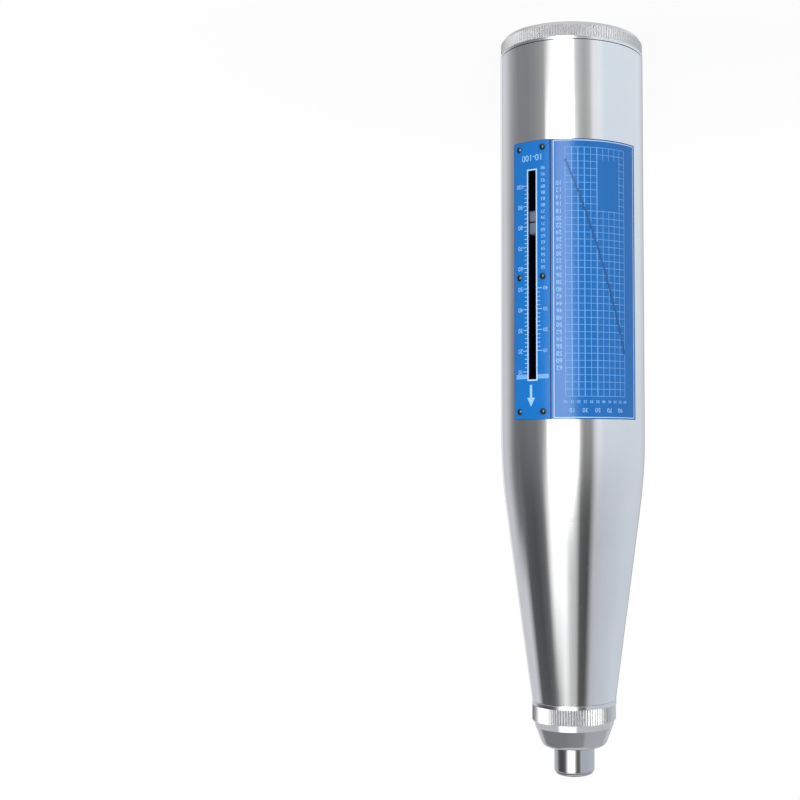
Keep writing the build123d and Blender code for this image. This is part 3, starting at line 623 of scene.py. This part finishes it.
def blue_label(name, color, deep_color, gloss, sides):
    """Blue lacquer on sheet metal, with painted navy shade along its edges and painted black shade round the slot."""
    material, tree, surface = new_material(name)
    grain = effect(tree, GRAIN, Grain_mm=0.25)
    hands = effect(tree, HANDLING, Smear_size_mm=20.0)
    place = effect(tree, ROUND)
    blue = blend_color(tree, grain["Clouds"], (*deep_color, 1), (*color, 1))
    turn = LABEL_EDGE / PLATE_R
    field = between(tree, place["Angle"], radians(sides[0]) + turn, radians(sides[1]) - turn)
    rows = between(tree, place["Height"], LABEL_REAR + LABEL_EDGE, LABEL_FRONT - LABEL_EDGE)
    field = math_node(tree, "MULTIPLY", field, rows)
    field = math_node(tree, "MULTIPLY", field, math_node(tree, "GREATER_THAN", place["Facing"], LABEL_FACING))
    # Painted shade: a black rim round the slot on the label
    rim = (SLOT_HALF + SLOT_RIM) / PLATE_R
    slot = between(tree, place["Angle"], -rim, rim)
    run = between(tree, place["Height"], SLOT_REAR - SLOT_RIM, SLOT_FRONT + SLOT_RIM)
    slot = math_node(tree, "MULTIPLY", slot, run)
    # Painted shade: the label's edges and side faces turn dark navy
    blue = blend_color(tree, field, EDGE_SHADE_NAVY, blue)
    connect(tree, surface["Base Color"], blend_color(tree, slot, blue, BORE_SHADE_BLACK))
    rough = math_node(tree, "MULTIPLY_ADD", hands["Smears"], LABEL_SMEAR, gloss)
    rough = math_node(tree, "MULTIPLY_ADD", hands["Scratches"], LABEL_SCRATCH, rough)
    connect(tree, surface["Roughness"], rough)
    surface["Specular IOR Level"].default_value = 0.0
    surface["Coat Weight"].default_value = 1.0
    surface["Coat Roughness"].default_value = COAT_ROUGH
    surface["Coat IOR"].default_value = COAT_IOR
    connect(tree, surface["Normal"], bump(tree, grain["Height"], 3 * MICRON))
    return material


# Ink: how dark it gets where it is thin, its roughness and how much that varies
INK_THIN = 0.82
INK_ROUGH = 0.4
INK_UNEVEN = 0.08


def ink(name, color):
    """Printed ink, slightly uneven."""
    material, tree, surface = new_material(name)
    grain = effect(tree, GRAIN, Grain_mm=0.12)
    thin = tuple(INK_THIN * part for part in color)
    connect(tree, surface["Base Color"], blend_color(tree, grain["Clouds"], (*thin, 1), (*color, 1)))
    rough = blend_value(tree, grain["Height"], INK_ROUGH - INK_UNEVEN, INK_ROUGH + INK_UNEVEN)
    connect(tree, surface["Roughness"], rough)
    connect(tree, surface["Normal"], bump(tree, grain["Height"], 3 * MICRON))
    return material


# Rider: half width of its index line, its colours and its roughness
RIDER_LINE = 0.32 * MM
RIDER_DARK = (0.108, 0.134, 0.172, 1)
RIDER_GREY = (0.142, 0.17, 0.216, 1)
RIDER_INDEX = (0.02, 0.015, 0.02, 1)
RIDER_ROUGH = (0.38, 0.55)


def rider_finish():
    """Grey moulded slide with a dark index line in its groove."""
    material, tree, surface = new_material("rider_finish")
    grain = effect(tree, GRAIN, Grain_mm=0.2)
    height = split_place(tree, object_place(tree))["Z"]
    away = math_node(tree, "ABSOLUTE", math_node(tree, "SUBTRACT", height, RIDER_Z))
    on_line = math_node(tree, "LESS_THAN", away, RIDER_LINE)
    shell = blend_color(tree, grain["Clouds"], RIDER_DARK, RIDER_GREY)
    connect(tree, surface["Base Color"], blend_color(tree, on_line, shell, RIDER_INDEX))
    connect(tree, surface["Roughness"], blend_value(tree, grain["Height"], *RIDER_ROUGH))
    connect(tree, surface["Normal"], bump(tree, grain["Height"], 12 * MICRON))
    return material


WOOL_DARK = (0.16, 0.15, 0.13, 1)
WOOL_PALE = (0.42, 0.40, 0.36, 1)


def felt_finish():
    """Pressed wool felt."""
    material, tree, surface = new_material("felt_finish")
    grain = effect(tree, GRAIN, Grain_mm=0.35)
    connect(tree, surface["Base Color"], blend_color(tree, grain["Height"], WOOL_DARK, WOOL_PALE))
    surface["Roughness"].default_value = 0.95
    surface["Sheen Weight"].default_value = 0.5
    connect(tree, surface["Normal"], bump(tree, grain["Height"], 150 * MICRON))
    return material


def new_piece(name, build, finish):
    """Turn a built shape into an object with a finish."""
    bmesh.ops.recalc_face_normals(build, faces=build.faces[:])
    mesh = bpy.data.meshes.new(name)
    build.to_mesh(mesh)
    build.free()
    mesh.materials.append(finish)
    piece = bpy.data.objects.new(name, mesh)
    bpy.context.scene.collection.objects.link(piece)
    return piece


# Printed marks, laid on the curved labels as thin ink, half sunk in them

# Half thickness of the ink, and the arrow's head, half stem and half wing
INK = 0.03 * MM
ARROW_HEAD = 3.2 * MM
ARROW_STEM = 0.5 * MM
ARROW_WING = 1.7 * MM


def on_barrel(arc, height, radius):
    """The point at an arc length from the slot's middle, a height and a radius."""
    angle = arc / PLATE_R
    return Vector((-radius * sin(angle), -radius * cos(angle), height))


def add_bar(build, radius, arcs, heights, steps=1):
    """One bar of ink between two arc lengths and two heights, following the curve in steps."""
    under, over = radius - INK, radius + INK
    section = [(under, heights[0]), (over, heights[0]), (over, heights[1]), (under, heights[1])]
    rows = []
    for step in range(steps + 1):
        arc = arcs[0] + (arcs[1] - arcs[0]) * step / steps
        rows.append([build.verts.new(on_barrel(arc, z, r)) for r, z in section])
    build.faces.new(rows[0])
    build.faces.new(reversed(rows[-1]))
    for before, after in zip(rows, rows[1:]):
        for side in range(4):
            other = (side + 1) % 4
            build.faces.new((before[other], before[side], after[side], after[other]))


def add_number(build, radius, text, arc, height, size):
    """A plain number, upright when the plunger points up."""
    curve = bpy.data.curves.new("number", "FONT")
    curve.body = text
    curve.size = size
    curve.align_x = "CENTER"
    curve.align_y = "CENTER"
    curve.extrude = INK
    holder = bpy.data.objects.new("number", curve)
    mesh = bpy.data.meshes.new_from_object(holder)
    bpy.data.objects.remove(holder)
    bpy.data.curves.remove(curve)
    for vertex in mesh.vertices:
        flat = vertex.co.copy()
        vertex.co = on_barrel(arc - flat.x, height + flat.y, radius + flat.z)
    build.from_mesh(mesh)
    bpy.data.meshes.remove(mesh)


def add_arrow(build, radius, arc, ends):
    """A plain arrow towards the plunger, in two halves that follow the curve."""
    low, high = ends
    neck = high - ARROW_HEAD
    corners = [(0, low), (ARROW_STEM, low), (ARROW_STEM, neck), (ARROW_WING, neck), (0, high)]
    corners += [(-ARROW_WING, neck), (-ARROW_STEM, neck), (-ARROW_STEM, low)]
    under, over = [
        [build.verts.new(on_barrel(arc + across, z, radius + lift)) for across, z in corners] for lift in (-INK, INK)
    ]
    for ring in (under, over):
        build.faces.new(ring[:5])
        build.faces.new(ring[4:] + ring[:1])
    for corner in range(8):
        other = (corner + 1) % 8
        build.faces.new((under[corner], under[other], over[other], over[corner]))


def ink_piece(name, build, material):
    """Turn a built print into a piece on the barrel."""
    bmesh.ops.remove_doubles(build, verts=build.verts[:], dist=MICRON)
    piece = new_piece(name, build, material)
    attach(piece, "barrel")


# Scale: readings run back from ZERO_Z over the stroke. A second row of readings is on the other side of the slot.
ZERO_Z = 134.3 * MM
STROKE = 75.0 * MM
READINGS = range(10, 101, 2)
SECOND_READINGS = range(20, 51, 2)
SECOND_SHIFT = 10
CLOSE_READINGS = range(60, 111, 3)
SLOT_LINE = 0.5 * MM
END_LINE = (127.8 * MM, 129.4 * MM)
END_LINE_SIDES = (-7.6 * MM, 6.6 * MM)
TICK_LINE = 0.26 * MM
TICK_SHORT = 1.2 * MM
TICK_LONG = 1.9 * MM
NUMBER_ARC = 5.4 * MM
CLOSE_ARC = 4.5 * MM
NUMBER_SIZE = 2.3 * MM
SECOND_SIZE = 0.8 * NUMBER_SIZE
CLOSE_SIZE = 0.75 * NUMBER_SIZE
ARROW_ARC = -0.6 * MM
ARROW_ENDS = (131.6 * MM, 139.4 * MM)
RANGE_Z = 49.2 * MM
RANGE_SIZE = 3.2 * MM


def scale_z(value):
    """The height of a reading on the scale."""
    return ZERO_Z - STROKE * value / 100


def add_ticks(build, readings, side, edge, shift, size):
    """A row of ticks on one side of the slot, from its border outwards, with a number at every tenth reading."""
    for value in readings:
        z = scale_z(value)
        end = edge + (TICK_SHORT if value % 10 else TICK_LONG)
        heights = (z - TICK_LINE / 2, z + TICK_LINE / 2)
        add_bar(build, PLATE_R, sorted((side * edge, side * end)), heights, 2)
        if value % 10 == 0:
            add_number(build, PLATE_R, str(value - shift), side * NUMBER_ARC, z, size)


def print_scale(bright, pale, faint):
    """Slot border, the wide line at the slot's end, the graduations and plain numbers."""
    border = bmesh.new()
    inner = SLOT_HALF + SLOT_RIM
    outer = inner + SLOT_LINE
    rear, front = SLOT_REAR - SLOT_RIM, SLOT_FRONT + SLOT_RIM
    for side in (-1, 1):
        add_bar(border, PLATE_R, sorted((side * inner, side * outer)), (rear - SLOT_LINE, front + SLOT_LINE))
    add_bar(border, PLATE_R, (-inner, inner), (rear - SLOT_LINE, rear), 4)
    add_bar(border, PLATE_R, (-inner, inner), (front, front + SLOT_LINE), 4)
    ink_piece("slot_border", border, bright)

    line = bmesh.new()
    add_bar(line, PLATE_R, (END_LINE_SIDES[0], -outer), END_LINE, 6)
    add_bar(line, PLATE_R, (outer, END_LINE_SIDES[1]), END_LINE, 6)
    ink_piece("slot_end_line", line, faint)

    marks = bmesh.new()
    add_ticks(marks, READINGS, -1, outer, 0, NUMBER_SIZE)
    add_ticks(marks, SECOND_READINGS, 1, outer, SECOND_SHIFT, SECOND_SIZE)
    for value in CLOSE_READINGS:
        add_number(marks, PLATE_R, str(value - SECOND_SHIFT), CLOSE_ARC, scale_z(value), CLOSE_SIZE)
    add_arrow(marks, PLATE_R, ARROW_ARC, ARROW_ENDS)
    add_number(marks, PLATE_R, "10-100", 0, RANGE_Z, RANGE_SIZE)
    ink_piece("scale_graduations", marks, pale)


# Chart: its border, the grid with a blank block in it, the numbers along two sides, and the curve.
# Lines are given as half widths.
CHART_SIDES = (8.4 * MM, 41.6 * MM)
CHART_INSET = 0.6 * MM
CHART_LINE = 0.16 * MM
GRID_SIDES = (12.7 * MM, 36.3 * MM)
GRID_ENDS = (46.25 * MM, 135.9 * MM)
GRID_COLUMNS = 10
GRID_ROWS = 35
GRID_LINE = 0.1 * MM
HEAVY_LINE = 0.17 * MM
HEAVY_COLUMNS = (1, 2, 3, 5)
BLANK_COLUMNS = (5.2, 8.8)
BLANK_ENDS = (50.8 * MM, 69.0 * MM)
SMALL_Z = GRID_ENDS[1] + 1.9 * MM
SMALL_SIZE = 1.4 * MM
LARGE_Z = GRID_ENDS[1] + 4.9 * MM
LARGE_SIZE = 2.2 * MM
ROW_NUMBERS = range(5, 32)
ROW_ARC = 10.4 * MM
ROW_SIZE = 2.3 * MM
CURVE_STEPS = 48
CURVE_SPREAD = 0.12 * MM
# The curve's start, rise and bend in mm
CURVE_SHAPE = (50.5, 55, 15)


def column_arc(column):
    """The arc length of a column line, counted from the grid's first."""
    return GRID_SIDES[0] + (GRID_SIDES[1] - GRID_SIDES[0]) * column / GRID_COLUMNS


def row_z(row):
    """The height of a row line, counted from the grid's rear end."""
    return GRID_ENDS[0] + (GRID_ENDS[1] - GRID_ENDS[0]) * row / GRID_ROWS


def cut_line(ends, gap, at, block):
    """The runs of a grid line: one, or two with a gap between them where the line meets the blank block."""
    if block[0] < at < block[1]:
        return [(ends[0], gap[0]), (gap[1], ends[1])]
    return [ends]


def print_chart(bright, pale, faint, dark):
    """Border, grid with a blank block, axis numbers and the rising curve."""
    left, right = CHART_SIDES
    rear, front = LABEL_REAR + CHART_INSET, LABEL_FRONT - CHART_INSET
    border = bmesh.new()
    for arc in (left, right):
        add_bar(border, CHART_R, (arc - CHART_LINE, arc + CHART_LINE), (rear - CHART_LINE, front + CHART_LINE))
    for z in (rear, front):
        add_bar(border, CHART_R, (left, right), (z - CHART_LINE, z + CHART_LINE), 32)
    ink_piece("chart_border", border, bright)

    numbers = bmesh.new()
    for column in range(GRID_COLUMNS + 1):
        add_number(numbers, CHART_R, str(10 + 5 * column), column_arc(column), SMALL_Z, SMALL_SIZE)
    for column in range(1, GRID_COLUMNS, 2):
        add_number(numbers, CHART_R, str(10 * column), column_arc(column), LARGE_Z, LARGE_SIZE)
    for row in ROW_NUMBERS:
        add_number(numbers, CHART_R, str(2 * row), ROW_ARC, row_z(row), ROW_SIZE)
    ink_piece("chart_numbers", numbers, pale)

    grid = bmesh.new()
    blank = [column_arc(column) for column in BLANK_COLUMNS]
    for column in range(GRID_COLUMNS + 1):
        arc = column_arc(column)
        half = HEAVY_LINE if column in HEAVY_COLUMNS else GRID_LINE
        for run in cut_line(GRID_ENDS, BLANK_ENDS, arc, blank):
            add_bar(grid, CHART_R, (arc - half, arc + half), run)
    for row in range(GRID_ROWS + 1):
        z = row_z(row)
        for run in cut_line(GRID_SIDES, blank, z, BLANK_ENDS):
            add_bar(grid, CHART_R, run, (z - GRID_LINE, z + GRID_LINE), max(2, round((run[1] - run[0]) / MM)))
    ink_piece("chart_grid", grid, faint)

    curve = bmesh.new()
    start, rise, bend = CURVE_SHAPE
    points = []
    for step in range(CURVE_STEPS + 1):
        share = step / CURVE_STEPS
        arc = GRID_SIDES[0] + (GRID_SIDES[1] - GRID_SIDES[0]) * share
        points.append((arc, (start + rise * share + bend * share**2) * MM))
    for before, after in zip(points, points[1:]):
        sides = (before[0] - CURVE_SPREAD, after[0] + CURVE_SPREAD)
        add_bar(curve, CHART_R + 2 * INK, sides, (before[1], after[1]))
    ink_piece("chart_curve", curve, dark)


# Springs wound in round wire

# The bodies at a spring's two ends, the ends, the mean radius, the wire and the turns, in mm
SPRINGS = {
    "compression_spring": (("barrel", "carriage"), (0, 0, 10.0), (0, 0, 33.0), 17.88, 1.8, 6),
    "impact_spring": (("hammer", "barrel"), (0, 0, 163.2), (0, 0, 224.7), 12.25, 2.0, 14),
    "pawl_spring": (("hook", "carriage"), (17.5, 0, 39.35), (20.4, 0, 39.35), 1.15, 0.4, 3),
    "button_spring": (("barrel", "button"), (0, 23.5, 43.7), (0, 28.5, 43.7), 3.75, 0.4, 4),
}
WIRE_SIDES = 12
TURN_STEPS = 32


def wind_spring(node, finish):
    """A coil in place of a CAD spring, between its two ends."""
    bodies, first, last, mean_r, wire, turns = SPRINGS[node]
    start, end = [Vector([part * MM for part in place]) for place in (first, last)]
    mean_r, wire = mean_r * MM, wire * MM
    along = (end - start).normalized()
    out = Vector((along.z, along.x, along.y))
    across = along.cross(out)
    climb = (end - start).length - wire
    steps = turns * TURN_STEPS
    build = bmesh.new()
    rings = []
    for step in range(steps + 1):
        angle = 2 * pi * step / TURN_STEPS
        radial = out * cos(angle) + across * sin(angle)
        centre = start + radial * mean_r + along * (wire / 2 + climb * step / steps)
        ring = []
        for side in range(WIRE_SIDES):
            turn = 2 * pi * (side + 0.5) / WIRE_SIDES
            ring.append(build.verts.new(centre + (radial * cos(turn) + along * sin(turn)) * wire / 2))
        rings.append(ring)
    for before, after in zip(rings, rings[1:]):
        for side in range(WIRE_SIDES):
            other = (side + 1) % WIRE_SIDES
            build.faces.new((before[side], before[other], after[other], after[side])).smooth = True
    build.faces.new(rings[0])
    build.faces.new(rings[-1])
    piece = new_piece(node.replace("spring", "coil"), build, finish)
    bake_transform(piece)
    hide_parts(node)


def dress(finish, *nodes):
    """Give CAD nodes a finish."""
    for name in nodes:
        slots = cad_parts[name].data.materials
        slots.clear()
        slots.append(finish)


place_camera()
light_world()
lay_floor()
hang_lamp("key", (-0.9, -1.3, 1.1), size=1.0, power=20)
hang_lamp("fill", (1.3, -0.7, 0.6), size=1.2, power=8)

dress(polished_barrel(), "housing")
dress(turned_cap(), "rear_cap", "button_bush")
dress(nose_finish(), "nose_cap")
dress(plain_metal("chromed_rod"), "plunger", "push_button")
dress(
    plain_metal("machined_steel"),
    "hammer_mass", "guide_sleeve", "split_ring", "guide_bar", "guide_flange", "pawl", "pawl_pin",
)
spring_steel = plain_metal("spring_wire")
dress(spring_steel, "buffer_spring", "pointer_blade")
for spring in SPRINGS:
    wind_spring(spring, spring_steel)
dress(plain_metal("screw_steel"), "plate_screws")
dress(plain_metal("blackened_steel"), "lock_nut", "trip_screw", "rider_guide_rod")
dress(blue_label("blue_plate", (0.003, 0.146, 0.475), (0.002, 0.137, 0.45), 0.3, PLATE_SIDES), "scale_plate")
dress(blue_label("blue_sheet", (0.003, 0.126, 0.415), (0.002, 0.118, 0.39), 0.24, SHEET_SIDES), "chart_plate")
dress(rider_finish(), "rider")
dress(felt_finish(), "felt_seal")
bright_ink = ink("bright_ink", (0.46, 0.62, 0.86))
pale_ink = ink("pale_ink", (0.29, 0.54, 0.86))
faint_ink = ink("faint_ink", (0.15, 0.38, 0.76))
print_scale(bright_ink, pale_ink, faint_ink)
print_chart(bright_ink, pale_ink, faint_ink, ink("dark_ink", (0.012, 0.085, 0.27)))

bpy.context.scene.view_settings.view_transform = "Standard"
